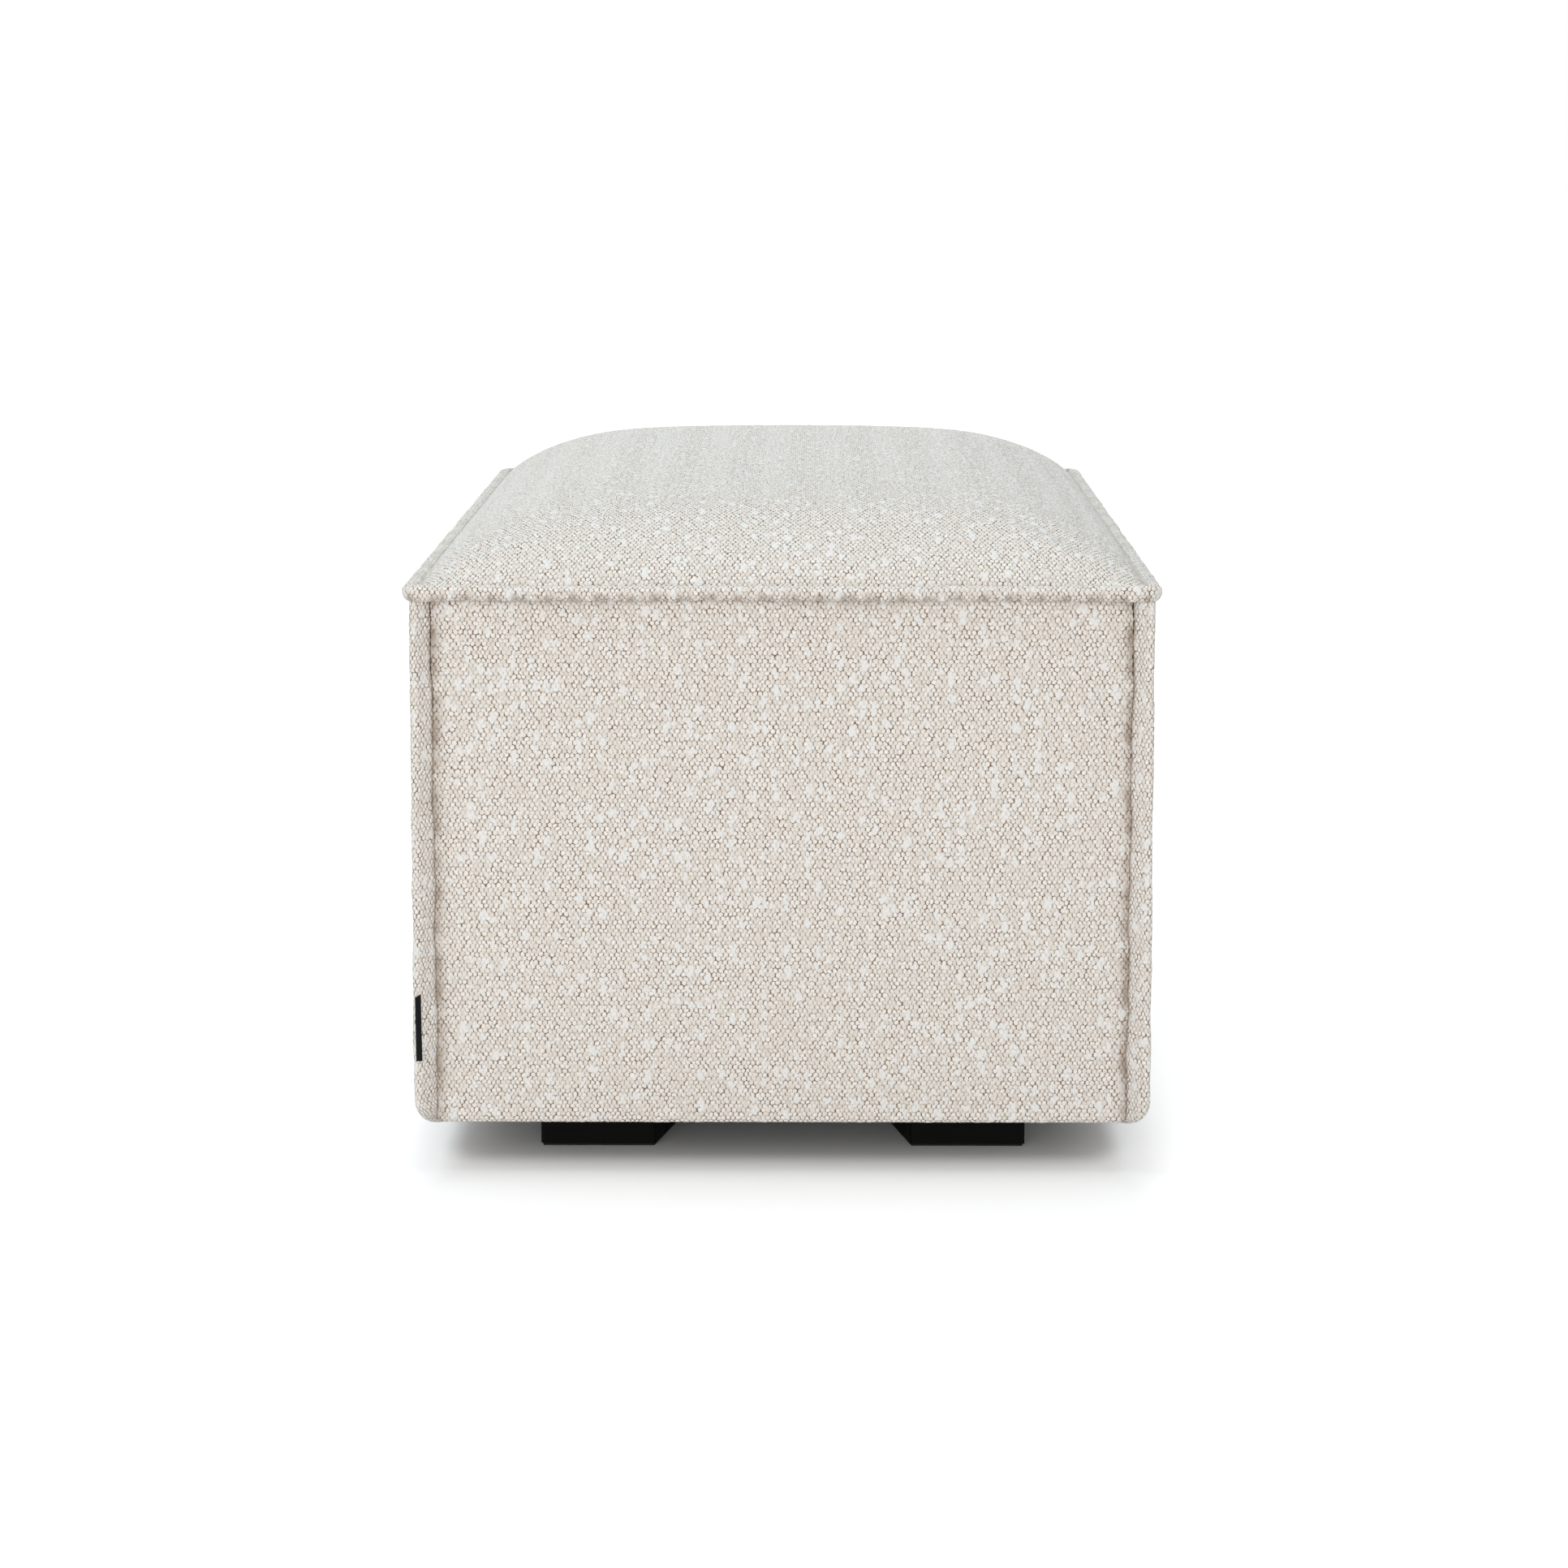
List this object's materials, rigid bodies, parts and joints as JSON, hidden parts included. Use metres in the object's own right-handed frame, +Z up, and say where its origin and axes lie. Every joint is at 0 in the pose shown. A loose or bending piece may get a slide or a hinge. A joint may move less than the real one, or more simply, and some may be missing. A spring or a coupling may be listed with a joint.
{
  "type": "ottoman",
  "caption": "Long upholstered box ottoman with a crowned seat, flat flanged seams in looped fabric, and low black block feet with splayed inner flanks.",
  "frame": {"origin": "on the floor, under the middle of the ottoman", "axes": "+Z up, +Y along the length, away from the end that the picture shows, +X to the right of someone looking along +Y"},
  "size_m": [0.53, 0.92, 0.479],
  "materials": {
    "boucle": "looped cream yarn over a tan ground weave",
    "label_tape": "black woven tape, blank",
    "wadding": "white polyester fibre",
    "foam": "open-cell seating foam",
    "fleece": "non-woven fleece",
    "dust_cloth": "black spunbond cloth",
    "webbing": "woven elastic webbing",
    "hardboard": "thin pressed board",
    "pine": "planed softwood",
    "felt": "pressed felt",
    "steel": "zinc plated",
    "black_wood": "black satin lacquer"
  },
  "bodies": {
    "root": {"bottom_rail_front": "pine", "bottom_rail_left": "pine", "bottom_rail_rear": "pine", "bottom_rail_right": "pine", "bottom_stretcher": "pine", "corner_blocks": "pine", "corner_flange_front_left": "boucle", "corner_flange_front_right": "boucle", "corner_flange_rear_left": "boucle", "corner_flange_rear_right": "boucle", "corner_post_front_left": "pine", "corner_post_front_right": "pine", "corner_post_rear_left": "pine", "corner_post_rear_right": "pine", "cover_front": "boucle", "cover_left": "boucle", "cover_rear": "boucle", "cover_right": "boucle", "cross_webbing_1": "webbing", "cross_webbing_2": "webbing", "cross_webbing_3": "webbing", "cross_webbing_4": "webbing", "cross_webbing_5": "webbing", "cross_webbing_6": "webbing", "dust_cover": "dust_cloth", "fleece_sheet": "fleece", "foot_board_front": "pine", "foot_board_rear": "pine", "foot_front_left": "black_wood", "foot_front_right": "black_wood", "foot_glide_front_left": "felt", "foot_glide_front_right": "felt", "foot_glide_rear_left": "felt", "foot_glide_rear_right": "felt", "foot_rear_left": "black_wood", "foot_rear_right": "black_wood", "foot_screws": "steel", "label_tab": "label_tape", "long_webbing_1": "webbing", "long_webbing_2": "webbing", "seat_foam": "foam", "side_board_front": "hardboard", "side_board_left": "hardboard", "side_board_rear": "hardboard", "side_board_right": "hardboard", "side_padding_front": "wadding", "side_padding_left": "wadding", "side_padding_rear": "wadding", "side_padding_right": "wadding", "top_cover": "boucle", "top_flange_front": "boucle", "top_flange_left": "boucle", "top_flange_rear": "boucle", "top_flange_right": "boucle", "top_rail_front": "pine", "top_rail_left": "pine", "top_rail_rear": "pine", "top_rail_right": "pine", "top_wadding": "wadding"}
  },
  "joints": []
}
